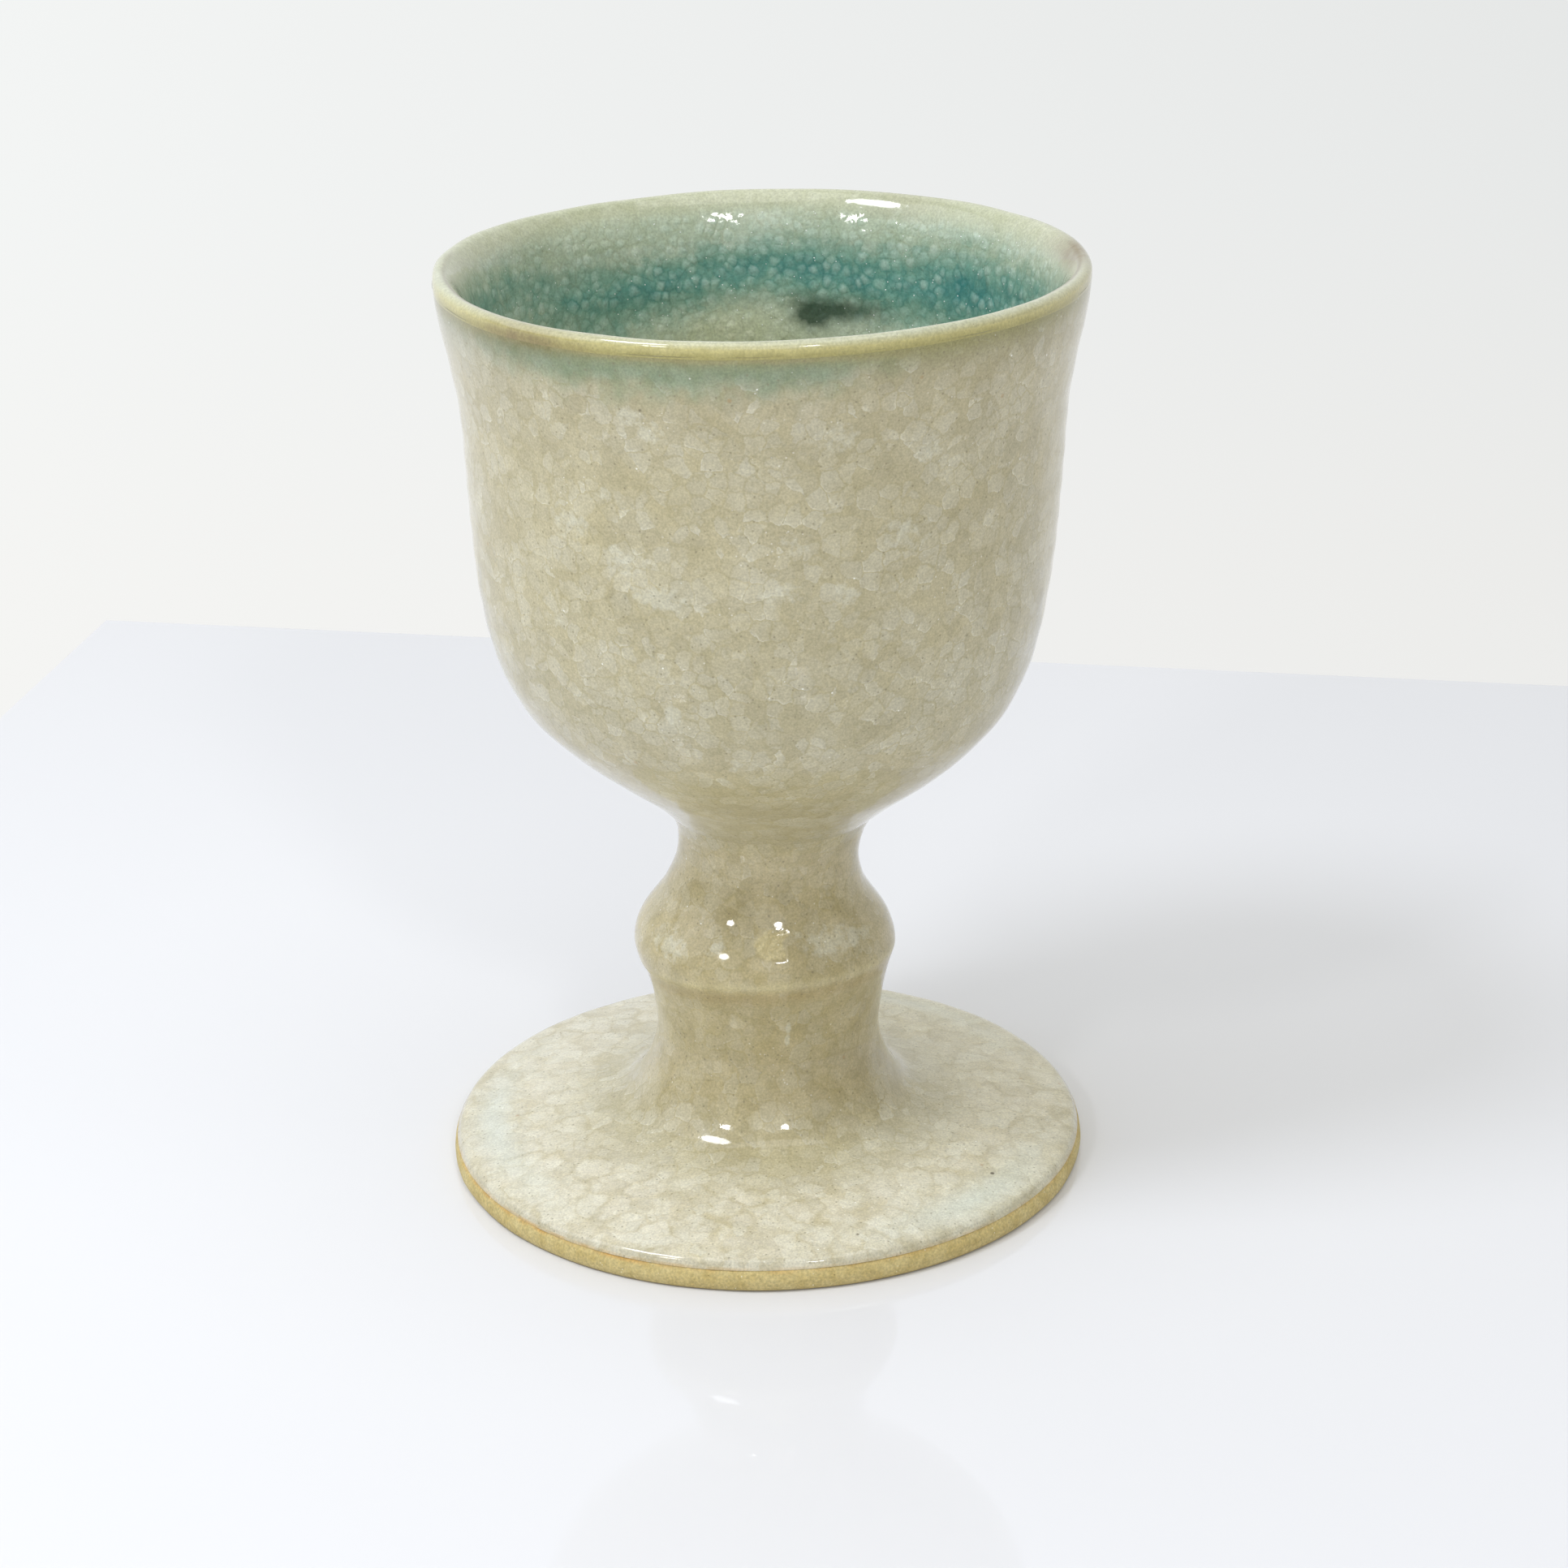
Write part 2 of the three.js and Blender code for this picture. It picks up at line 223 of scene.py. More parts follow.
def turned(name, loop, turns, relief=None):
    """Closed solid of revolution.

    loop holds radius and height in mm, walked either way; it starts and ends on the axis, or
    closes on itself. relief(turn, z, row, radius) adds mm along the outward surface normal.
    """
    loop = np.asarray(loop, float)
    loop = loop[np.concatenate([[True], np.hypot(*np.diff(loop, axis=0).T) > 1e-4])]
    on_axis = loop[0, 0] < 1e-6 and loop[-1, 0] < 1e-6
    if not on_axis and np.hypot(*(loop[0] - loop[-1])) < 1e-4:
        loop = loop[:-1]
    after, before = np.roll(loop, -1, 0), np.roll(loop, 1, 0)
    area = np.sum(loop[:, 0] * after[:, 1] - after[:, 0] * loop[:, 1])
    sign = 1.0 if area > 0 else -1.0
    if on_axis:
        after[-1], before[0] = loop[-1], loop[0]
    along = after - before
    along /= np.linalg.norm(along, axis=1)[:, None] + 1e-12
    normal_r, normal_z = sign * along[:, 1], -sign * along[:, 0]

    turn, row = np.meshgrid(np.linspace(-np.pi, np.pi, turns, endpoint=False),
                            np.arange(len(loop)), indexing="xy")
    radius, z = loop[row, 0].copy(), loop[row, 1].copy()
    if relief is not None:
        push = relief(turn, z, row, radius)
        radius, z = radius + push * normal_r[row], z + push * normal_z[row]
        if on_axis:
            radius[0], radius[-1] = 0, 0
    radius, z = warp(turn, radius, z)
    x = radius * np.sin(turn) + centre(loop[row, 1])
    points = np.stack([x, radius * np.cos(turn), z], -1)

    poles = np.empty((0, 3))
    if on_axis:
        poles = np.array([[x[i].mean(), 0.0, z[i].mean()] for i in (0, -1)])
        points = points[1:-1]
    rows = len(points)
    index = len(poles) + np.arange(rows * turns).reshape(rows, turns)

    def wound(corners):
        return (corners[:, ::-1] if sign > 0 else corners).tolist()

    faces = []
    for i in range(rows - 1 if on_axis else rows):
        near, far = index[i], index[(i + 1) % rows]
        faces += wound(np.stack([near, np.roll(near, -1), np.roll(far, -1), far], -1))
    if on_axis:
        first, last = index[0], index[-1]
        faces += wound(np.stack([np.zeros(turns, int), np.roll(first, -1), first], -1))
        faces += wound(np.stack([np.ones(turns, int), last, np.roll(last, -1)], -1))
    points = np.vstack([poles, points.reshape(-1, 3)]) * MM
    return add_mesh(name, points.tolist(), faces)


def dress(ob, material, sharp_degrees=None):
    ob.data.materials.append(material)
    if sharp_degrees is not None:
        ob.data.set_sharp_from_angle(angle=math.radians(sharp_degrees))
    return ob


def measure(ob):
    """x, y and z in mm of every vertex, and its turn about the centre line."""
    points = np.zeros(len(ob.data.vertices) * 3)
    ob.data.vertices.foreach_get("co", points)
    x, y, z = (points.reshape(-1, 3) / MM).T
    return x, y, z, np.arctan2(x - centre(z), y)


def paint(ob, **masks):
    """Store each mask as a vertex attribute for the glaze shaders."""
    for name, values in masks.items():
        layer = ob.data.attributes.new(name, "FLOAT", "POINT")
        layer.data.foreach_set("value", np.clip(values, 0, 4).astype(np.float32))


# ---------------------------------------------------------------- shader tools
def linear(color):
    """sRGB 0-255 triple to linear RGBA."""
    return tuple((c / 255 / 12.92 if c <= 10.3 else ((c / 255 + 0.055) / 1.055) ** 2.4)
                 for c in color) + (1.0,)


class Shader:
    """Short names for the node kinds the materials need. Sockets go in and come out."""

    def __init__(self, name):
        self.material = bpy.data.materials.new(name)
        self.material.use_nodes = True
        self.tree = self.material.node_tree
        self.tree.nodes.clear()
        self.out = self.tree.nodes.new("ShaderNodeOutputMaterial")

    @cached_property
    def place(self):
        """Object coordinates in millimetres."""
        coords = self.node("ShaderNodeTexCoord").outputs["Object"]
        return self.vec("MULTIPLY", coords, (1 / MM,) * 3)

    def put(self, socket, value):
        if isinstance(value, bpy.types.NodeSocket):
            self.tree.links.new(value, socket)
        else:
            socket.default_value = value

    def node(self, kind, **props):
        node = self.tree.nodes.new(kind)
        for key, value in props.items():
            setattr(node, key, value)
        return node

    def math(self, operation, first, second, clamp=False):
        node = self.node("ShaderNodeMath", operation=operation, use_clamp=clamp)
        for socket, value in zip(node.inputs, (first, second, 0.0)):
            self.put(socket, value)
        return node.outputs[0]

    def mul(self, total, *factors, clamp=False):
        for factor in factors:
            total = self.math("MULTIPLY", total, factor, clamp)
        return total

    def add(self, total, *terms):
        for term in terms:
            total = self.math("ADD", total, term)
        return total

    def inverse(self, value, clamp=False):
        return self.math("SUBTRACT", 1.0, value, clamp)

    def swing(self, noise, amount):
        """Noise centred on zero."""
        return self.mul(self.math("SUBTRACT", noise, 0.5), amount)

    def vec(self, operation, first, second=(0, 0, 0)):
        node = self.node("ShaderNodeVectorMath", operation=operation)
        self.put(node.inputs[0], first)
        self.put(node.inputs[1], second)
        return node.outputs["Value" if operation == "DOT_PRODUCT" else "Vector"]

    def scale(self, vector, amount):
        node = self.node("ShaderNodeVectorMath", operation="SCALE")
        self.put(node.inputs[0], vector)
        self.put(node.inputs["Scale"], amount)
        return node.outputs[0]

    def attr(self, name):
        node = self.node("ShaderNodeAttribute", attribute_type="GEOMETRY", attribute_name=name)
        return node.outputs["Fac"]

    def noise(self, size, detail=2.0, rough=0.5, vec=None, output="Fac"):
        """Noise with features about size mm across."""
        node = self.node("ShaderNodeTexNoise", noise_dimensions="3D")
        self.put(node.inputs["Vector"], vec if vec is not None else self.place)
        node.inputs["Scale"].default_value = 1.0 / size
        node.inputs["Detail"].default_value = detail
        node.inputs["Roughness"].default_value = rough
        return node.outputs[output]

    def cells(self, size, vec, feature="F1", rand=1.0):
        node = self.node("ShaderNodeTexVoronoi", voronoi_dimensions="3D", feature=feature)
        self.put(node.inputs["Vector"], vec)
        node.inputs["Scale"].default_value = 1.0 / size
        node.inputs["Randomness"].default_value = rand
        return node.outputs

    def cell_gap(self, size, vec, rand=1.0):
        """Outputs of the nearest cell, and a distance that falls to 0 at cell borders."""
        near = self.cells(size, vec, "F1", rand)
        second = self.cells(size, vec, "F2", rand)
        return near, self.math("SUBTRACT", second["Distance"], near["Distance"])

    def shake(self, vec, amount, size):
        """Coordinates pushed about by noise, amount in mm."""
        push = self.noise(size, detail=1.0, vec=vec, output="Color")
        push = self.vec("SUBTRACT", push, (0.5, 0.5, 0.5))
        return self.vec("ADD", vec, self.scale(push, amount * 2))

    def step(self, value, low, high):
        """Smooth step from 0 at low to 1 at high."""
        node = self.node("ShaderNodeMapRange", interpolation_type="SMOOTHSTEP", clamp=True)
        self.put(node.inputs["Value"], value)
        node.inputs["From Min"].default_value = low
        node.inputs["From Max"].default_value = high
        return node.outputs["Result"]

    def ramp(self, value, low, high, at_low=0.0, at_high=1.0):
        """Straight ramp from at_low to at_high while value goes from low to high."""
        node = self.node("ShaderNodeMapRange", clamp=True)
        self.put(node.inputs["Value"], value)
        for key, number in (("From Min", low), ("From Max", high),
                            ("To Min", at_low), ("To Max", at_high)):
            node.inputs[key].default_value = number
        return node.outputs["Result"]

    def lerp(self, mask, at_zero, at_one):
        return self.ramp(mask, 0.0, 1.0, at_zero, at_one)

    def mix(self, share, under, over):
        """Colours are sockets, sRGB 0-255 triples or linear RGBA."""
        node = self.node("ShaderNodeMix", data_type="RGBA", clamp_factor=True)
        self.put(node.inputs[0], share)
        for slot, color in ((6, under), (7, over)):
            if isinstance(color, tuple) and len(color) == 3:
                color = linear(color)
            self.put(node.inputs[slot], color)
        return node.outputs[2]

    def vary(self, value, low, high, first, second):
        """First colour where value is low, second where it is high."""
        return self.mix(self.ramp(value, low, high), first, second)

    def rgb(self, socket):
        node = self.node("ShaderNodeSeparateColor")
        self.put(node.inputs[0], socket)
        return node.outputs

    def bump(self, height, distance, strength):
        """Bumped normal, distance in mm."""
        node = self.node("ShaderNodeBump")
        node.inputs["Strength"].default_value = strength
        node.inputs["Distance"].default_value = distance * MM
        self.put(node.inputs["Height"], height)
        return node.outputs["Normal"]

    def calmer(self, normal, share):
        """The bumped normal drawn back towards the plain one, for the clear coat."""
        plain = self.node("ShaderNodeNewGeometry").outputs["Normal"]
        both = self.vec("ADD", self.scale(plain, 1 - share), self.scale(normal, share))
        return self.vec("NORMALIZE", both)

    def finish(self, color, rough, normal=None, coat=None, coat_rough=0.05, coat_normal=None,
               ior=1.45, spec=0.5):
        shader = self.node("ShaderNodeBsdfPrincipled")
        values = {"Base Color": color, "Roughness": rough, "Normal": normal, "IOR": ior,
                  "Specular IOR Level": spec}
        if coat is not None:
            values.update({"Coat Weight": coat, "Coat Roughness": coat_rough,
                           "Coat Normal": coat_normal})
        for key, value in values.items():
            if value is not None:
                self.put(shader.inputs[key], value)
        self.tree.links.new(shader.outputs[0], self.out.inputs["Surface"])
        return self.material


def flakes(mat, color, size, film, vein, rim, share, seed, body, line, glow, tone, width):
    """One layer of crackle flakes: rounded cells of milky film, with a painted highlight along
    their lower rims, parted by soft lines. body, line and glow are the strengths of film, lines and
    the painted rim highlight.
    Returns colour, distance to the cell border and rim highlight mask."""
    base = mat.vec("ADD", mat.place, (seed * 37.1, seed * 11.7, seed * 5.3))
    shaken = mat.shake(base, amount=0.2 * size, size=size * 0.5)
    cell, gap = mat.cell_gap(size, shaken, rand=0.9)
    chance = mat.rgb(cell["Color"])
    color = mat.scale(color, mat.lerp(chance[2], 1 - tone, 1 + tone))
    present = mat.step(chance[0], 1 - share - 0.1, 1 - share + 0.1)
    worn = mat.noise(size * 1.6, detail=1.0, vec=base)
    filmy = mat.mul(present, mat.step(gap, 0.02, 0.2), mat.ramp(worn, 0.3, 0.62, 0.25, 1.0))
    color = mat.mix(mat.mul(filmy, mat.lerp(chance[1], 0.45, 1.0), body), color, film)
    # painted highlight: rims show bright on the side of the cell facing down, front and left
    away = mat.vec("SUBTRACT", shaken, cell["Position"])
    facing = mat.vec("DOT_PRODUCT", away, (-0.30 / size, -0.50 / size, -0.80 / size))
    low = mat.step(facing, 0.02, 0.34)
    edge = mat.math("SUBTRACT", mat.step(gap, 0.0, 0.045), mat.step(gap, 0.07, 0.2))
    rim_mask = mat.mul(edge, low, mat.mul(present, mat.step(worn, 0.44, 0.62)))
    color = mat.mix(mat.mul(rim_mask, glow), color, rim)
    lines = mat.mul(mat.inverse(mat.step(gap, 0.0, width)),
                    mat.step(mat.inverse(worn), 0.36, 0.62), line)
    return mat.mix(lines, color, vein), gap, rim_mask


def specks(mat, color, tint, spacing, radius, share, seed, strength, where=None):
    """Round dots in a share of the cells of a grid. Returns colour and dot mask."""
    base = mat.vec("ADD", mat.place, (seed * 13.3, seed * 7.9, seed * 3.1))
    cell = mat.cells(spacing, base)
    dot = mat.inverse(mat.step(cell["Distance"], radius * 0.5 / spacing, radius * 1.15 / spacing))
    present = mat.step(mat.rgb(cell["Color"])[1], 1 - share - 0.01, 1 - share + 0.01)
    mask = mat.mul(dot, present, strength)
    if where is not None:
        mask = mat.mul(mask, where)
    return mat.mix(mask, color, tint), mask


def grained(mat, color, amount, size):
    """Fine uneven grain, as a plus-or-minus share of the colour."""
    grain = mat.noise(size, detail=1.0, rough=0.6)
    return mat.scale(color, mat.ramp(grain, 0.25, 0.75, 1 - amount, 1 + amount)), grain


# ---------------------------------------------------------------- materials
IVORY_GAIN = (1.0, 0.995, 0.955)
TEAL_GAIN = (1.0, 1.0, 1.0)


def ivory_glaze():
    mat = Shader("ivory_crackle_glaze")
    big, mid = mat.noise(14, rough=0.55), mat.noise(4.2, rough=0.6)
    thin, disc = mat.attr("thin"), mat.attr("disc")
    # body colour: thin on the stem, whiter on the disc of the foot
    soft = mat.add(mat.mul(big, 0.55), mat.mul(mid, 0.45))
    color = mat.vary(soft, 0.34, 0.66, (185, 177, 143), (194, 187, 157))
    color = mat.mix(mat.mul(thin, 0.8), color,
                    mat.vary(mid, 0.36, 0.64, (182, 168, 123), (195, 182, 143)))
    color = mat.mix(mat.mul(disc, 0.85), color,
                    mat.vary(mid, 0.36, 0.62, (213, 206, 182), (226, 221, 204)))
    # two sizes of crackle flakes
    # the rim colour is the colour of the painted rim highlight
    tints = {"vein": mat.mix(disc, (166, 156, 116), (188, 178, 142)),
             "film": mat.mix(disc, (217, 215, 199), (234, 233, 220)),
             "rim": (240, 240, 228)}
    amount = mat.mul(mat.lerp(disc, 0.8, 1.0), mat.lerp(thin, 1.0, 0.42))
    color, gap_large, rim_large = flakes(
        mat, color, size=5.2, share=0.5, seed=1, tone=0.035, width=0.24,
        body=mat.mul(amount, mat.lerp(disc, 0.3, 0.55)), line=mat.lerp(disc, 0.12, 0.46),
        glow=mat.mul(amount, 0.22), **tints)
    color, gap_small, rim_small = flakes(
        mat, color, size=2.8, share=0.6, seed=2, tone=0.05, width=0.15,
        body=mat.mul(amount, mat.lerp(disc, 0.6, 0.5)), line=mat.lerp(disc, 0.2, 0.12),
        glow=mat.mul(amount, mat.lerp(disc, 0.5, 0.38)), **tints)
    # milky spots, and a painted reflection of the right lamp on the stem
    milk = mat.add(mat.attr("milk"), mat.swing(mat.noise(1.4), 1.3))
    milk = mat.mul(mat.step(milk, 0.25, 0.75), mat.mul(mat.step(mat.attr("milk"), 0.02, 0.2), 0.42))
    color = mat.mix(milk, color, (226, 227, 213))
    # thick bluish pools, green leaking from the lip, and the yellow lip band
    color = mat.mix(mat.mul(mat.attr("blue"), 0.7), color, (218, 228, 226))
    wobble = mat.swing(mat.noise(3.6, rough=0.6), 0.9)
    wobble = mat.mul(wobble, mat.step(mat.attr("green"), 0.0, 0.3))
    leak = mat.step(mat.add(mat.attr("green"), wobble), 0.05, 0.95)
    color = mat.mix(mat.mul(leak, 0.8), color,
                    mat.vary(mid, 0.35, 0.62, (118, 146, 112), (142, 166, 142)))
    band = mat.mul(mat.attr("band"), mat.ramp(mid, 0.3, 0.65, 0.8, 1.0))
    color = mat.mix(band, color, (166, 161, 106))
    olive = mat.mul(mat.attr("olive"), mat.ramp(mat.noise(2.0, rough=0.6), 0.3, 0.62, 0.25, 1.0))
    color = mat.mix(mat.mul(olive, 0.72, clamp=True), color, (126, 116, 60))
    # painted shade: darker under the lip and on the upper left of the bowl
    color = mat.mix(mat.attr("shade"), color, mat.vec("MULTIPLY", color, (0.42, 0.45, 0.42)))
    # bead and tan ring at the knop joint, tan foot edge, and painted shade darkening and warming
    # the right-hand sides
    bead = mat.mul(mat.attr("bead"), mat.ramp(mid, 0.35, 0.62, 0.3, 0.75))
    color = mat.mix(bead, color, (214, 203, 156))
    color = mat.mix(mat.mul(mat.attr("tanring"), 0.36), color, (172, 148, 96))
    edge = mat.mul(mat.attr("edge"), mat.ramp(mid, 0.4, 0.6, 0.25, 0.9))
    color = mat.mix(edge, color, (206, 170, 104))
    color = mat.mix(mat.attr("tan"), color, mat.vec("MULTIPLY", color, (0.90, 0.88, 0.76)))
    # bare patch where the glaze is chipped
    chip = mat.attr("chip")
    color = mat.mix(chip, color,
                    mat.vary(mat.noise(0.9), 0.35, 0.65, (207, 194, 150), (219, 208, 168)))
    color, _ = grained(mat, color, amount=0.05, size=0.9)
    color, fine = grained(mat, color, amount=0.15, size=0.34)
    # pinholes, iron spots and painted glints
    for tint, spacing, radius, share, seed, strength in (
            ((128, 120, 94), 1.15, 0.21, 0.5, 1, 0.5),
            ((78, 66, 40), 19.0, 0.42, 0.2, 3, 0.9),
            ((176, 134, 78), 5.2, 0.42, 0.14, 5, 0.4)):
        color, _ = specks(mat, color, tint, spacing, radius, share, seed, strength)
    # painted glints: white dots along the painted rim highlights and in smooth patches
    shiny = mat.math("MAXIMUM", mat.mul(mat.math("MAXIMUM", rim_large, rim_small), 1.6),
                     mat.mul(mat.step(big, 0.52, 0.6), 0.4), clamp=True)
    color, _ = specks(mat, color, (255, 255, 252), spacing=1.1, radius=0.17, share=0.4, seed=4,
                      strength=1.0, where=shiny)
    color = mat.vec("MULTIPLY", color, IVORY_GAIN)
    # crackle lines sink, grain rises
    height = mat.add(mat.mul(mat.step(gap_large, 0.0, 0.13), 0.42),
                     mat.mul(mat.step(gap_small, 0.0, 0.13), 0.34), mat.mul(fine, 0.09))
    height = mat.mul(height, mat.lerp(thin, 1.0, 0.55))
    normal = mat.bump(height, distance=0.026, strength=0.8)
    rough = mat.math("ADD", mat.add(0.38, mat.mul(fine, 0.1)), mat.mul(chip, 0.3), clamp=True)
    return mat.finish(color, rough, normal, coat=mat.inverse(mat.mul(chip, 0.8), clamp=True),
                      coat_rough=mat.add(0.035, mat.mul(mid, 0.05)),
                      coat_normal=mat.calmer(normal, share=0.42), spec=0.2)


def turquoise_glaze():
    mat = Shader("turquoise_crackle_glaze")
    # small domed cells and a wide net of cracks
    cell, gap = mat.cell_gap(1.9, mat.shake(mat.place, amount=0.35, size=1.1), rand=0.95)
    disc = mat.inverse(mat.step(cell["Distance"], 0.06, 0.6))
    moved = mat.vec("ADD", mat.place, (5, 77, 3))
    _, wide_gap = mat.cell_gap(7.5, mat.shake(moved, amount=1.3, size=6.0))
    chance = mat.rgb(cell["Color"])
    mid = mat.noise(4.6, rough=0.6)
    streak = mat.noise(2.2, rough=0.6, vec=mat.vec("MULTIPLY", mat.place, (1.0, 1.0, 0.55)))
    # pale ground deepening to teal
    wobble = mat.add(mat.swing(mid, 0.55),
                     mat.add(mat.swing(chance[0], 0.16), mat.swing(streak, 0.42)))
    mask = mat.attr("teal")
    teal = mat.add(mask, mat.mul(wobble, mat.ramp(mask, 0.0, 0.35, 0.25, 1.0)))
    pale = mat.vary(mat.noise(4.0), 0.3, 0.7, (180, 192, 169), (194, 206, 187))
    beige = mat.vary(streak, 0.35, 0.65, (190, 194, 160), (206, 210, 182))
    color = mat.mix(mat.attr("beige"), pale, beige)
    for low, high, tint in ((0.03, 0.36, (150, 176, 157)), (0.30, 0.72, (112, 158, 142)),
                            (0.66, 1.2, (58, 128, 126))):
        color = mat.vary(teal, low, high, color, tint)
    # dark lines between cells, milky film on them
    deep = mat.vary(teal, 0.1, 0.8, (148, 152, 120), (56, 106, 98))
    lines = mat.inverse(mat.step(gap, 0.0, 0.36))
    color = mat.mix(mat.mul(lines, mat.ramp(streak, 0.32, 0.66, 0.06, 0.3)), color, deep)
    color = mat.mix(mat.mul(mat.inverse(mat.step(wide_gap, 0.0, 0.035)), 0.3), color, deep)
    milky = mat.mul(mat.add(mat.mul(disc, 0.6), mat.mul(mat.step(gap, 0.04, 0.4), 0.4)),
                    mat.lerp(chance[1], 0.06, 0.44))
    color = mat.mix(milky, color, mat.mix(mat.attr("beige"), (200, 220, 208), (214, 210, 184)))
    # smoky dark mark
    drift = mat.mul(mat.swing(mat.noise(1.8), 0.6), mat.step(mat.attr("smoke"), 0.0, 0.3))
    smoke = mat.add(mat.attr("smoke"), drift)
    color = mat.mix(mat.mul(mat.ramp(smoke, 0.06, 0.92), 0.9), color, (38, 64, 48))
    # lip: the glaze breaks thin over the edge
    color = mat.mix(mat.attr("creamlip"), color,
                    mat.vary(streak, 0.35, 0.65, (190, 192, 162), (202, 204, 178)))
    # painted shade: a grey line along the inner edge of the front lip, where it turns from view,
    # with no clear coat on it
    color = mat.mix(mat.mul(mat.attr("grey"), 0.9), color, (146, 136, 130))
    band = mat.mul(mat.attr("band"), mat.ramp(mid, 0.3, 0.62, 0.85, 1.05))
    color = mat.vary(band, 0.0, 0.45, color, (202, 194, 134))
    color = mat.vary(band, 0.42, 0.85, color, (172, 164, 102))
    color = mat.mix(mat.mul(mat.attr("greenlip"), 0.5), color, (170, 186, 146))
    # brown marks on the lip; the one on the right is partly painted shade
    brown = mat.mul(mat.attr("brown"), mat.ramp(streak, 0.3, 0.7, 0.5, 0.8), clamp=True)
    color = mat.mix(brown, color, (132, 116, 80))
    # grain, pinholes and painted glints
    color, fine = grained(mat, color, amount=0.15, size=0.4)
    color, _ = specks(mat, color, (96, 96, 72), spacing=1.2, radius=0.12, share=0.35, seed=7,
                      strength=0.4)
    off_lip = mat.inverse(mat.attr("creamlip"), clamp=True)
    color, glint = specks(mat, color, (250, 255, 252), spacing=0.95, radius=0.13, share=0.36,
                          seed=8, strength=0.9, where=mat.lerp(off_lip, 0.03, 1.0))
    color = mat.vec("MULTIPLY", color, TEAL_GAIN)
    # domed cells, nearly flat on the lip
    dome = mat.mul(disc, mat.lerp(chance[2], 0.5, 1.0))
    height = mat.add(mat.mul(dome, 1.25), mat.mul(fine, 0.2), mat.mul(mid, 0.6),
                     mat.mul(glint, 0.6))
    height = mat.mul(height, mat.lerp(off_lip, 0.15, 1.0))
    normal = mat.bump(height, distance=0.12, strength=0.9)
    return mat.finish(color, mat.add(0.34, mat.mul(fine, 0.1)), normal,
                      coat=mat.inverse(mat.mul(mat.attr("grey"), 0.9), clamp=True),
                      coat_rough=mat.add(0.035, mat.mul(streak, 0.07)),
                      coat_normal=mat.calmer(normal, share=0.5), spec=0.2)


def stoneware():
    mat = Shader("bare_stoneware")
    mid = mat.noise(3.0, detail=3.0, rough=0.6)
    color = mat.vary(mid, 0.32, 0.68, (200, 180, 118), (216, 200, 144))
    flash = mat.mul(mat.attr("flash"), mat.ramp(mat.noise(4.5, detail=3.0), 0.36, 0.62))
    color = mat.mix(flash, color, (204, 156, 78))
    color, fine = grained(mat, color, amount=0.2, size=0.42)
    # dark specks small and large, then painted glints
    for tint, spacing, radius, share, seed, strength in (
            ((124, 98, 52), 1.3, 0.13, 0.3, 11, 0.6),
            ((84, 64, 36), 6.0, 0.24, 0.3, 12, 0.8),
            ((255, 252, 232), 0.85, 0.115, 0.22, 13, 0.8)):
        color, glint = specks(mat, color, tint, spacing, radius, share, seed, strength)
    # grime and painted contact shade at the bottom of the foot
    color = mat.mix(mat.mul(mat.attr("grime"), 0.35), color, (150, 130, 88))
    height = mat.add(mat.mul(fine, 0.6), mat.mul(mat.noise(0.9), 0.6), mat.mul(glint, 0.5))
    normal = mat.bump(height, distance=0.07, strength=0.9)
    return mat.finish(color, mat.add(0.52, mat.mul(fine, 0.2)), normal, spec=0.35)


def slip_clay():
    mat = Shader("luting_slip")
    fine = mat.noise(0.5, detail=3.0, rough=0.65)
    color = mat.vary(fine, 0.3, 0.7, (170, 145, 96), (196, 172, 122))
    color, _ = specks(mat, color, (110, 86, 50), spacing=1.2, radius=0.14, share=0.3, seed=21,
                      strength=0.7)
    return mat.finish(color, mat.ramp(fine, 0.3, 0.7, 0.8, 0.95),
                      mat.bump(fine, distance=0.1, strength=0.9), spec=0.3)


# ---------------------------------------------------------------- outside glaze
# Milky spots, two of them (near bearing 9, on the stem) a painted reflection of the right lamp:
# bearing in degrees, height, half width, half height, strength.
MILK = (
    (-19, 93.0, 1.5, 1.7, 1.1), (9.3, 29.6, 0.5, 0.9, 1.3), (8.7, 27.2, 0.45, 1.3, 1.3),
    (-49, 42.3, 5.0, 2.2, 0.62), (31, 43.6, 5.4, 2.8, 0.62), (52, 42.6, 3.4, 2.2, 0.55),
    (-22, 43.5, 2.2, 2.0, 0.55), (-24, 140.5, 2.4, 1.6, 0.8), (-20, 138.0, 2.0, 2.0, 0.7),
    (12, 137.0, 4.0, 2.6, 0.6), (30, 133.5, 3.0, 2.4, 0.5), (-38, 122.0, 4.5, 3.0, 0.6),
    (-27, 117.5, 4.0, 2.4, 0.65), (-20, 112.0, 5.5, 2.2, 0.7), (2, 113.0, 4.0, 2.4, 0.55),
    (14, 112.5, 2.6, 2.2, 0.7), (-30, 127.0, 3.2, 2.0, 0.5), (-44, 106.0, 3.0, 2.2, 0.4),
    (26, 121.0, 4.4, 3.4, 0.5), (4, 121.0, 3.0, 2.4, 0.45), (-6, 84.0, 2.6, 1.6, 0.5))


def row_step(radius, z):
    """Row spacing on the outside skin: finer where the shape turns."""
    if z < 5.3 and radius > 49:
        return 0.28
    if z > 146 or 33 < z < 53:
        return 0.5
    return 0.95 if z < 34 else 1.1


def ring_z(turn):
    """Height of the luted ring under the knop, which isn't quite level."""
    angle = np.radians(bearing_of(turn))
    return JOINT_Z - 0.2 + 2.2 * np.cos(angle) + 0.8 * np.sin(angle)


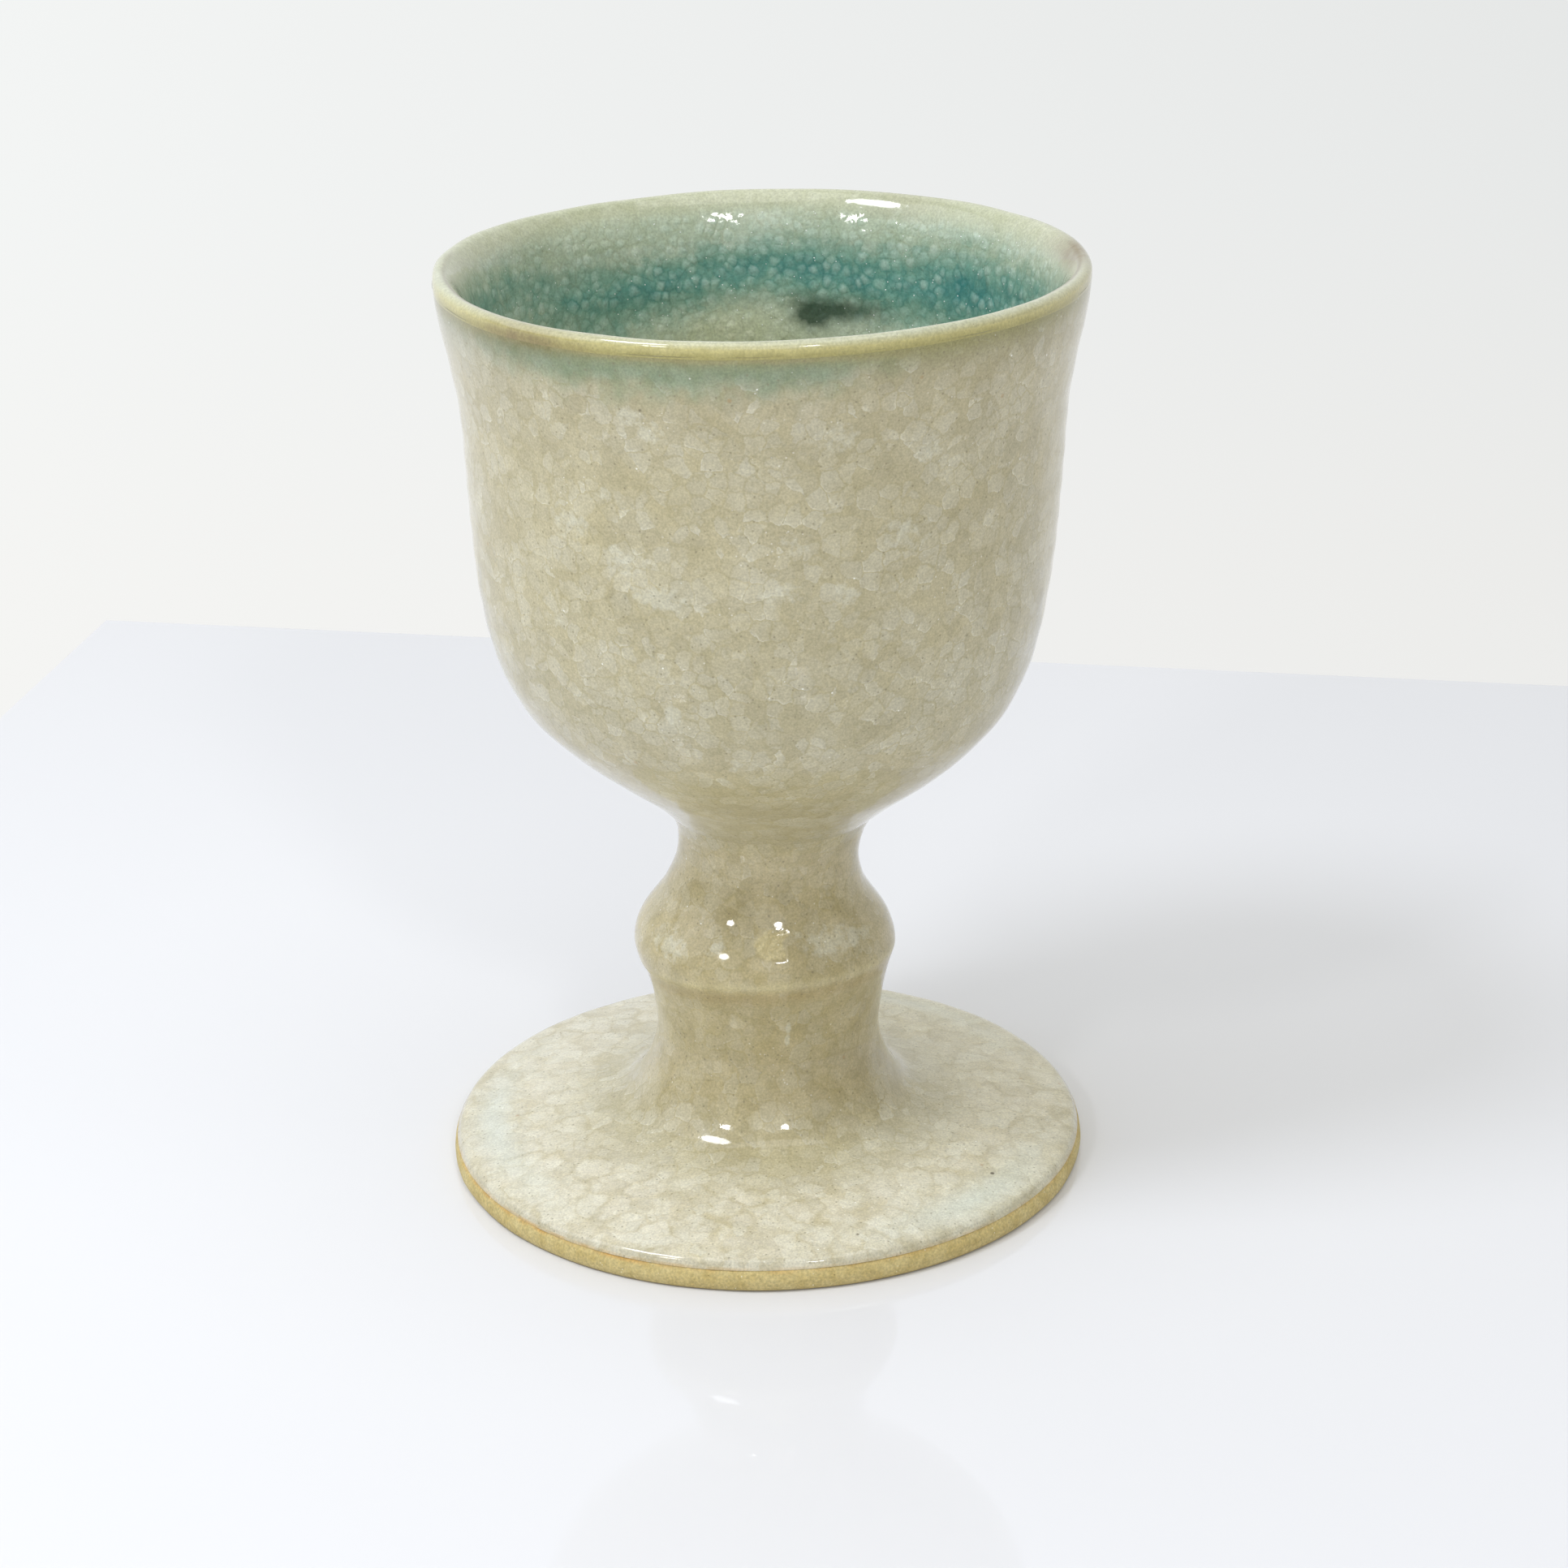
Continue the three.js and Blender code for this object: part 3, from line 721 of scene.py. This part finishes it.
def chip_mask(turn, z, radius):
    """Ragged chip on the front of the knop."""
    bearing = bearing_of(turn)
    x, y = np.radians(bearing - 4.8) * radius, (z - 44.2) * 1.2
    ragged = (0.5 * np.sin(1.9 * x + 1.3 * y + 1.0) + 0.35 * np.sin(3.1 * y - 1.7 * x)
              + 0.12 * np.sin(5.7 * x + 3.9 * y))
    bite = 1.3 * patch(x, 2.4, 1.2, y, -0.1, 0.9)
    inside = 1 - (x / 3.1) ** 2 - (y / 2.55) ** 2 + 0.26 * ragged - bite
    return sstep(0.0, 0.2, inside) * (np.abs(bearing) < 40) * ((z > 38) & (z < 52))


def build_outside():
    skin = np.vstack([run(FOOT, row_step), run(KNOP, row_step)[1:], run(BOWL, row_step)[1:]])
    # the glaze rolls over the edge of the foot and laps the bare clay
    foot_roll = np.array([[52.05, 3.62], [52.42, 3.58], [52.6, 3.7], [52.56, 3.92]])
    top_lap = np.array([[RIM_R + 0.02, BAND_Z + 0.1], [50.5, BAND_Z + 0.1]])
    back = within(offset(skin, GLAZE), 4.2)[::-1][::5]
    skin_rows = len(foot_roll) + len(skin) - 1

    def relief(turn, z, row, radius):
        bowl = sstep(66, 84, z) * (1 - sstep(143, 149, z))
        disc = sstep(24, 32, radius) * (z < 13)
        size = np.clip(radius / 46, 0.15, 1) ** 2
        push = (1 - disc) * size * (0.045 * lumps(turn, z) + 0.008 * pucker(turn, z))
        # throwing rings on the bowl and the lower stem
        push += bowl * 0.045 * np.sin(1.02 * z + 0.5 * np.sin(turn + 1) + 2.0 * np.sin(0.11 * z))
        push += (sstep(12, 20, z) * (1 - sstep(30, 34, z))
                 * 0.02 * np.sin(1.9 * z + 0.6 * np.sin(turn)))
        # dimples and rings on the disc of the foot
        push += disc * (0.035 * dimples(radius * np.sin(turn), radius * np.cos(turn))
                        + 0.02 * np.sin(radius * 1.15 + 0.8 * np.sin(turn + 2)))
        # raised ring and groove at the knop joint, rings on the knop
        ring, near_ring = ring_z(turn), (z > 28) & (z < 42)
        push += near_ring * (0.10 * bump(z, ring + 0.9, 0.95) - 0.045 * bump(z, ring - 0.6, 0.85))
        push -= (0.097 * np.sin((z - 44.45) * 0.64)
                 * sstep(39.4, 41.0, z) * (1 - sstep(48.0, 50.0, z)))
        # groove under the bowl, raised foot edge, chip
        push -= 0.10 * bump(z, BOWL_Z, 0.7) * (radius < 20)
        push += 0.06 * bump(radius, 51.1, 1.2) * (z < 7)
        push -= 0.12 * chip_mask(turn, z, radius)
        return np.where((row < skin_rows) & (row > 0), push * sstep(3.6, 4.6, z), 0.0)

    ob = turned("glaze_outside", np.vstack([foot_roll, skin[1:], top_lap, back]), 336, relief)
    paint_outside(ob)
    return dress(ob, ivory_glaze(), sharp_degrees=50)


def paint_outside(ob):
    x, y, z, turn = measure(ob)
    radius = np.hypot(x - centre(z), y)
    bearing = bearing_of(turn)
    on_foot, high, top = z < 13, z > 120, z > 140
    ring, near_ring = ring_z(turn), (z > 28) & (z < 42)

    stem = sstep(12.0, 17, z) * (1 - sstep(58, 63, z))
    thin = (0.95 * stem + 0.5 * sstep(60, 63, z) * (1 - sstep(72, 96, z))
            + 0.18 * sstep(88, 100, z) + 0.55 * sstep(8.4, 12, z) * (1 - sstep(12.0, 17, z)))
    blue = (on_foot * (0.8 * patch(bearing, -82, 26, radius, 46.5, 3.0)
                       + 0.85 * patch(bearing, 45, 20, radius, 48.0, 3.4)
                       + 0.5 * patch(bearing, 150, 30, radius, 47, 3.0))
            + 0.35 * sstep(140, 146, z) * (1 - sstep(147, 149, z)) * bump(bearing, -70, 18))
    # green runs down from the lip band, further in some places than others
    drop = np.clip(149.9 - z, 0, None)
    soak = 2.1 + 3.1 * bump(bearing, -30, 34) + 1.8 * bump(bearing, 8, 16)
    leak = np.exp(-np.clip((drop - 0.7) / soak, 0, None) ** 1.7) * sstep(0.0, 1.3, drop)
    green_at = (np.exp(-((bearing + 26) / 30) ** 4) + 0.9 * bump(bearing, 6, 15)
                + 0.25 * bump(bearing, 28, 12) + 0.4 * bump(bearing, -66, 12)
                + 0.55 * bump(np.abs(bearing), 150, 22))
    olive_at = bump(bearing, -42, 13) + 0.35 * bump(bearing, -14, 7) + 0.3 * bump(bearing, 3, 5)
    band_depth = 1.2 + 1.0 * sstep(5, 30, bearing) + 0.3 * sstep(-50, -80, bearing)
    milk = 0.0
    for spot_bearing, spot_z, width, height, strength in MILK:
        across = np.radians(bearing - spot_bearing) * radius / width
        milk = milk + strength * np.exp(-(across ** 2 + ((z - spot_z) / height) ** 2) ** 1.5)

    paint(
        ob,
        thin=thin,
        disc=sstep(24, 40, radius) * on_foot * (1 - 0.25 * sstep(50, 52.4, radius)),
        blue=blue,
        green=leak * np.clip(green_at, 0, 1.0) * high,
        olive=top * bump(drop, 0, 2.1) * olive_at,
        # painted shade under the lip, reaching further down on the left
        shade=high * (0.30 * bump(drop, 0, 5.0)
                      + 0.24 * sstep(-20, -60, bearing) * bump(drop, 0, 11.0)),
        band=top * np.exp(-(drop / band_depth) ** 1.5),
        bead=near_ring * bump(z, ring + 0.75, 0.95),
        tanring=near_ring * bump(z, ring - 1.1, 1.3),
        edge=(z < 7) * (1 - sstep(3.85, 4.25, z)) * (0.35 + 0.55 * bump(bearing, -45, 40)),
        # painted shade on the right of the foot disc and of the bowl
        tan=np.where(on_foot, sstep(24, 34, radius) * (0.35 * sstep(15, 45, bearing)
                                                       + 0.45 * sstep(90, 150, bearing)),
                     0.28 * sstep(35, 75, bearing) * (z > 60)),
        chip=chip_mask(turn, z, radius),
        milk=milk * (z > 20))


# ---------------------------------------------------------------- liner
# Teal band round the wall: azimuth in degrees from the back, height, strength, fade below
# and fade above.
TEAL_BAND = np.array([
    (-180, 138.5, 0.8, 4.5, 4.5), (-140, 137.0, 0.6, 5.5, 4.5), (-100, 139, 0.8, 4.5, 4.5),
    (-80, 143.0, 0.4, 5, 5), (-64, 143.6, 0.42, 8, 5.2), (-48, 138.6, 0.58, 7.0, 5.4),
    (-32, 137.2, 0.92, 6.2, 4.6), (-16, 138.6, 0.82, 5.2, 4.6), (0, 140.1, 0.92, 3.8, 4.6),
    (16, 139.6, 1.0, 5.2, 4.6), (32, 138.2, 0.88, 6.4, 5.4), (48, 138.6, 1.08, 6.4, 7.2),
    (64, 140.0, 0.85, 5.0, 5.4), (80, 141, 0.55, 5, 5), (100, 139.5, 0.8, 4, 4.5),
    (140, 137.5, 0.95, 5, 4.5), (180, 138.5, 0.8, 4.5, 4.5)]).T
# Smoky marks: azimuth in degrees from the back, height, half width, half height, strength.
SMOKE = ((11.0, 132.3, 3.6, 2.3, 1.0), (17.5, 132.9, 5.5, 1.7, 0.62),
         (25, 133.2, 5.0, 1.5, 0.3), (16, 133.0, 13, 3.8, 0.3))


def lip_arc(radius, steps):
    """Quarter round from the top of the lip to its outer side."""
    angle = np.linspace(np.pi / 2, 0, steps)
    middle = np.array([RIM_R - LIP, LIP_TOP - LIP])
    return middle + radius * np.stack([np.cos(angle), np.sin(angle)], -1)


def liner_step(radius, z):
    if z > 148:
        return 0.3
    if z > 143:
        return 0.5
    return 0.9 if z > 100 else 1.2


def build_liner():
    """From the middle of the floor up the wall, over the lip to the lip band, and back."""
    inner = run(INSIDE, liner_step)
    lap = np.array([[RIM_R + 0.02, 150.75], [RIM_R + 0.03, 150.4], [RIM_R + 0.025, 150.1],
                    [RIM_R + 0.005, 149.85], [RIM_R - 0.05, 149.6], [RIM_R - 0.14, 149.42],
                    [50.62, 149.7], [50.6, 150.4]])
    back = offset(inner, -GLAZE)[::-1][::4][1:]
    loop = np.vstack([inner[:-1], lip_arc(LIP, 11), lap, lip_arc(LIP - GLAZE, 6)[::-1], back,
                      [[0.0, 66.1]]])
    # no rows crowded round the axis
    loop = loop[~((loop[:, 0] < 1.2) & (loop[:, 0] > 1e-6))]
    loop[0, 0] = 0.0
    inner_rows = len(inner) - 1

    def relief(turn, z, row, radius):
        wall = sstep(72, 84, z) * (1 - sstep(140, 146, z))
        near_lip = sstep(145.5, 149.5, z)
        push = 0.04 * lumps(turn + 2, z) + 0.012 * pucker(turn + 1, z)
        push += (wall * 0.07 * np.sin(0.93 * z + 0.6 * np.sin(turn))
                 + (1 - sstep(70, 78, z)) * 0.08 * np.sin(radius * 0.9 + turn))
        push *= sstep(0, 5, radius) * (1 - near_lip)
        lip = 0.05 * lumps(turn, 150 + 0 * z) * near_lip
        below, over = 0.045 * lumps(turn, z) + 0.008 * pucker(turn, z), sstep(150.2, 151.0, z)
        return np.where(row < inner_rows, push + lip,
                        (below * (1 - over) + lip * over) * sstep(140, 146, z))

    ob = turned("glaze_liner", loop, 336, relief)
    paint_liner(ob)
    return dress(ob, turquoise_glaze(), sharp_degrees=50)


def paint_liner(ob):
    x, y, z, turn = measure(ob)
    radius = np.hypot(x - centre(z), y)
    azimuth, bearing = np.degrees(turn), bearing_of(turn)
    inner_side = radius < RIM_R - LIP

    def spot(middle, spot_z, width, height, strength):
        away = (azimuth - middle + 180) % 360 - 180
        return strength * patch(away, 0, width, z, spot_z, height)

    band_z, strong, below, above = (np.interp(azimuth, TEAL_BAND[0], column)
                                    for column in TEAL_BAND[1:])
    fade = np.where(z > band_z, above, below)
    teal = strong * np.exp(-np.abs((z - band_z) / fade) ** 1.8) + spot(-88, 143, 14, 3.5, 0.25)
    pool = (0.75 * (1 - sstep(14, 30, radius)) * (z < 90)
            + 0.3 * bump(z, 110, 12) * (0.5 + 0.5 * np.sin(turn * 2 + 1)))
    teal = np.where(z < 124, np.maximum(teal, pool), teal)
    down = np.clip((152.15 - z) / 2.3, 0, 1)        # 0 at the lip's top, 1 below it
    # brown marks on the lip: front left, right and back right; the mark on the right also stands
    # for painted shade in a dip of the lip
    brown = (1.1 * bump(bearing, -44, 12) * sstep(48.4, 50.6, radius)
             * (0.5 + 0.5 * sstep(0.3, 0.8, down))
             + 1.35 * bump(bearing, 92, 11) * sstep(46.4, 48.0, radius)
             * (1 - 0.7 * sstep(49.8, 50.9, radius))
             + 0.25 * bump(bearing, 150, 8))

    paint(
        ob,
        teal=np.clip(teal, 0, 1.3) * (1 - sstep(147.5, 150.5, z)),
        beige=(np.clip(1 - sstep(123, 132, z), 0, 1) * (1 - 0.5 * (z < 80))
               + spot(-7, 130.5, 15, 3.6, 0.9)),
        smoke=sum(spot(*mark) for mark in SMOKE),
        creamlip=np.where(inner_side, sstep(147.6, 151.3, z), 1.0),
        band=(np.where(inner_side, 0.0, down) * (z > 145)
              * (0.8 + 0.2 * sstep(-130, -60, -np.abs(bearing)))),
        greenlip=((z > 145) * (0.5 * bump(np.abs(bearing), 140, 40) + 0.35 * bump(bearing, -80, 20))
                  * np.where(inner_side, 0.7, 0.5)),
        # painted shade line on the inner edge of the front lip
        grey=((z > 149) * inner_side * bump(radius, 49.1, 0.36) * (np.abs(bearing) < 100)
              * (0.4 + 0.5 * bump(np.abs(bearing), 62, 24))),
        brown=(z > 148.5) * brown)


# ---------------------------------------------------------------- clay under the glaze
def build_foot(clay):
    """Bare clay edge and resting ring, hollow underside with trimming rings, lower stem."""
    ring = np.stack([np.linspace(45.5, 51.7, 9), np.zeros(9)], -1)
    edge = run([[51.7, 0.0], [52.45, 0.12], [52.9, 0.62], [53.1, 1.5], [53.05, 2.5],
                [52.72, 3.3], [52.3, 3.85]], 0.22)
    under_skin = within(offset(run(FOOT, 1.2), CLAY_DEPTH), 4.3, JOINT_Z - 0.9)
    top = JOINT_Z - JOINT_GAP
    hollow = run([[13.0, top], [12.6, 24], [13.0, 15], [15.2, 10.2], [19.5, 7.0], [26, 4.7],
                  [34, 3.5], [41, 2.3], [44.4, 1.0]], 0.6)
    loop = np.vstack([ring, edge[1:], [[51.4, 3.9]], under_skin, [[19.9, top], [16.5, top]],
                      hollow, [[44.9, 0.35]]])
    edge_end = len(ring) + len(edge) - 1
    hollow_start = edge_end + 1 + len(under_skin) + 2

    def relief(turn, z, row, radius):
        rough = (0.05 * lumps(turn, z) + 0.016 * pucker(turn, z * 3)
                 + 0.02 * np.sin(z * 4.2 + np.sin(turn * 2)))
        push = np.where((row >= len(ring)) & (row < edge_end), rough, 0.0)
        turning = 0.10 * np.sin(radius * 2.1 + turn) + 0.05 * lumps(turn, radius)
        return np.where(row >= hollow_start, turning * sstep(0.3, 2.0, z),
                        push * sstep(0.0, 0.7, z))

    ob = turned("foot_clay", loop, 320, relief)
    x, y, z, turn = measure(ob)
    radius = np.hypot(x, y)
    paint(
        ob,
        flash=((radius > 50) * sstep(2.9, 3.6, z) * (0.25 + 0.6 * bump(bearing_of(turn), -45, 40))
               + 0.25 * (radius < 46) * (z > 4)),
        # grime on the resting ring and painted contact shade at the bottom of the edge
        grime=(0.9 * (radius > 40) * (1 - sstep(0.0, 0.5, z))
               + 0.4 * (radius > 50) * (1 - sstep(0.2, 1.2, z))))
    return dress(ob, clay, sharp_degrees=55)


def build_stem(clay):
    """Hollow knopped stem between the two joints."""
    low, high = JOINT_Z + JOINT_GAP, BOWL_Z - JOINT_GAP
    outer = within(offset(run(KNOP, 0.8), CLAY_DEPTH), JOINT_Z + 0.9, BOWL_Z - 0.9)
    bore = run([[9.9, high], [9.3, 54], [10.3, 48.6], [13.4, 43.6], [15.0, 40.2],
                [15.1, 38.0], [13.2, low]], 0.7)
    loop = np.vstack([[[17.0, low], [20.1, low]], outer, [[15.1, high], [12.5, high]], bore])

    def relief(turn, z, row, radius):
        push = 0.04 * lumps(turn, z) + 0.03 * np.sin(1.6 * z + turn)
        return push * sstep(low, JOINT_Z + 2, z) * (1 - sstep(BOWL_Z - 2, high, z))

    return dress(turned("stem_clay", loop, 192, relief), clay, sharp_degrees=55)


def build_bowl(clay):
    outer = within(offset(run(BOWL, 1.3), CLAY_DEPTH), BOWL_Z + 1.2, 150.0)
    inner = offset(run(INSIDE, 1.4), -CLAY_DEPTH)[::-1]
    inner = inner[(inner[:, 1] < 151.35) & (inner[:, 0] > 1.0)]
    low = BOWL_Z + JOINT_GAP
    loop = np.vstack([[[0, low], [6, low], [12, low], [15.4, BOWL_Z + 0.72]], outer,
                      lip_arc(LIP - CLAY_DEPTH, 5)[::-1], inner, [[0, 65.8]]])
    return dress(turned("bowl_clay", loop, 192), clay, sharp_degrees=55)


def build_bed(name, slip, joint_z, inner_r, outer_r, seed):
    """Bed of slip, squeezed a little unevenly out of a joint."""
    squeeze = waves(count=14, low=3, high=24, seed=seed)
    angle = np.linspace(-np.pi / 2, np.pi / 2, 7)
    bulge, rise = 0.35 * np.cos(angle), 0.4 * np.sin(angle)
    middle = (inner_r + outer_r) / 2
    loop = np.vstack([[[middle, joint_z - 0.4]], np.stack([outer_r + bulge, joint_z + rise], -1),
                      [[middle, joint_z + 0.4]], np.stack([inner_r - bulge, joint_z - rise], -1)])

    def relief(turn, z, row, radius):
        return (0.22 * squeeze(turn, z * 2) * (np.abs(z - joint_z) < 0.3)
                * np.where(radius > middle, 0.4, 1.0))

    return dress(turned(name, loop, 160, relief), slip)


outside, liner = build_outside(), build_liner()
clay = stoneware()
foot, stem, bowl = build_foot(clay), build_stem(clay), build_bowl(clay)
slip = slip_clay()
knop_bed = build_bed("slip_knop_joint", slip, JOINT_Z, inner_r=13.9, outer_r=19.0, seed=31)
bowl_bed = build_bed("slip_bowl_joint", slip, BOWL_Z, inner_r=10.7, outer_r=14.3, seed=32)

for ob, node, slot in ((outside, "outer_glaze", "ivory_glaze"),
                       (liner, "liner_glaze", "turquoise_glaze"),
                       (foot, "foot", "stoneware"), (stem, "stem_knop", "stoneware"),
                       (bowl, "bowl", "stoneware"), (knop_bed, "slip_joint_knop", "luting_slip"),
                       (bowl_bed, "slip_joint_bowl", "luting_slip")):
    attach(ob, "root")
    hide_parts(node)


# ---------------------------------------------------------------- stage, metres
def sweep_light():
    """The backdrop glows as painted light instead of being lit: white, dimming a little to the
    right and to the back as painted fall-off of the light.
    """
    mat = Shader("lit_sweep")
    axes = mat.node("ShaderNodeSeparateXYZ")
    mat.put(axes.inputs[0], mat.place)
    x, y = axes.outputs["X"], axes.outputs["Y"]
    level = mat.add(mat.mul(x, -0.00019), mat.mul(y, -0.000047), 0.8905)
    level = mat.math("MINIMUM", mat.math("MAXIMUM", level, 0.72), 0.95)
    glow = mat.node("ShaderNodeEmission")
    tint = mat.vary(y, 300, 650, (1.0, 1.0, 0.982, 1), (0.99, 1.005, 0.997, 1))
    mat.put(glow.inputs["Color"], tint)
    mat.put(glow.inputs["Strength"], level)
    mat.tree.links.new(glow.outputs[0], mat.out.inputs["Surface"])
    return mat.material


def build_sheet():
    """Glossy white sheet the chalice stands on, turned a little about its far left corner."""
    material = Shader("white_sheet").finish((0.825, 0.832, 0.862, 1), rough=0.5, coat=1.0,
                                            coat_rough=0.012, spec=0.0, ior=1.5)
    width, depth, thick = 1.3, 1.5, 0.003
    corner_x, corner_y = -0.158, 0.278
    yaw = math.radians(-11.2)
    cos, sin = math.cos(yaw), math.sin(yaw)
    outline = [(corner_x + x * cos - y * sin, corner_y + x * sin + y * cos)
               for x, y in ((0, 0), (width, 0), (width, -depth), (0, -depth))]
    faces = [(0, 3, 2, 1), (4, 5, 6, 7)] + [(i, (i + 1) % 4, (i + 1) % 4 + 4, i + 4)
                                            for i in range(4)]
    points = [(x, y, z) for z in (0.0, -thick) for x, y in outline]
    dress(add_mesh("table_sheet", points, faces, smooth=False), material)


def build_backdrop():
    """Floor that curves up into a wall behind the chalice."""
    half_width, floor_z, bend_y, bend_r = 3.0, -0.0035, 0.45, 0.7
    profile = [(-3.0, floor_z), (bend_y, floor_z)]
    for i in range(1, 13):
        angle = i / 12 * math.pi / 2
        profile.append((bend_y + bend_r * math.sin(angle),
                        floor_z + bend_r * (1 - math.cos(angle))))
    profile.append((bend_y + bend_r, 3.0))
    points = [(x, y, z) for y, z in profile for x in (-half_width, half_width)]
    faces = [(2 * i, 2 * i + 1, 2 * i + 3, 2 * i + 2) for i in range(len(profile) - 1)]
    dress(add_mesh("backdrop", points, faces), sweep_light())


build_sheet()
build_backdrop()

world = bpy.data.worlds.new("studio")
bpy.context.scene.world = world
world.use_nodes = True
background = world.node_tree.nodes["Background"]
background.inputs["Color"].default_value = (1.0, 0.995, 0.985, 1)
background.inputs["Strength"].default_value = 0.2

# Disk lights aimed at the target: name, degrees from the front (positive to the right),
# elevation in degrees, distance, diameter, power in watts, colour.
TARGET = Vector((0, 0, 0.08))
COOL, WHITE = (0.95, 0.985, 1.065), (1, 1, 1)
LIGHTS = (
    ("key_soft", -63, 57, 1.1, 0.31, 3.8, COOL),
    ("wall_left", -85, 35, 1.3, 1.0, 3.05, COOL),
    ("wall_right", 80, 35, 1.3, 1.0, 1.25, (1.0, 0.96, 0.85)),
    ("top_soft", 20, 80, 1.3, 1.1, 4.7, (1.0, 0.997, 0.968)),
    ("front_soft", 5, 28, 1.5, 0.9, 2.2, (1.0, 0.99, 0.95)),
    ("lamp_left", -40, 34, 1.3, 0.16, 1.7, WHITE),
    ("lamp_right", 16, 34, 1.3, 0.16, 1.9, WHITE))
for name, side, elevation, distance, size, power, color in LIGHTS:
    light = bpy.data.lights.new(name, "AREA")
    light.shape = "DISK"
    light.size = size
    light.energy = power
    light.color = color
    ob = bpy.data.objects.new(name, light)
    side, elevation = math.radians(side), math.radians(elevation)
    ob.location = TARGET + distance * Vector((math.sin(side) * math.cos(elevation),
                                              -math.cos(side) * math.cos(elevation),
                                              math.sin(elevation)))
    ob.rotation_euler = (TARGET - ob.location).to_track_quat("-Z", "Y").to_euler()
    bpy.context.scene.collection.objects.link(ob)


def build_camera():
    """Camera in front of the chalice, looking down on it."""
    camera = bpy.data.cameras.new("camera")
    camera.sensor_width = 36.0
    camera.lens = 81.59385
    camera.clip_start = 0.01
    ob = bpy.data.objects.new("camera", camera)
    pitch, roll, yaw = 0.38091, -0.01908, 0.00716     # radians
    cos, sin = math.cos, math.sin
    level = Vector((cos(yaw), -sin(yaw), 0))
    ahead = Vector((sin(yaw) * cos(pitch), cos(yaw) * cos(pitch), -sin(pitch)))
    above = Vector((sin(yaw) * sin(pitch), cos(yaw) * sin(pitch), cos(pitch)))
    right = cos(roll) * level + sin(roll) * above
    up = cos(roll) * above - sin(roll) * level
    ob.matrix_world = Matrix(((right.x, up.x, -ahead.x, 0.0),
                              (right.y, up.y, -ahead.y, -0.54054),
                              (right.z, up.z, -ahead.z, 0.28111), (0, 0, 0, 1)))
    bpy.context.scene.collection.objects.link(ob)
    bpy.context.scene.camera = ob


build_camera()
bpy.context.scene.view_settings.view_transform = "Standard"
bpy.context.scene.view_settings.look = "None"
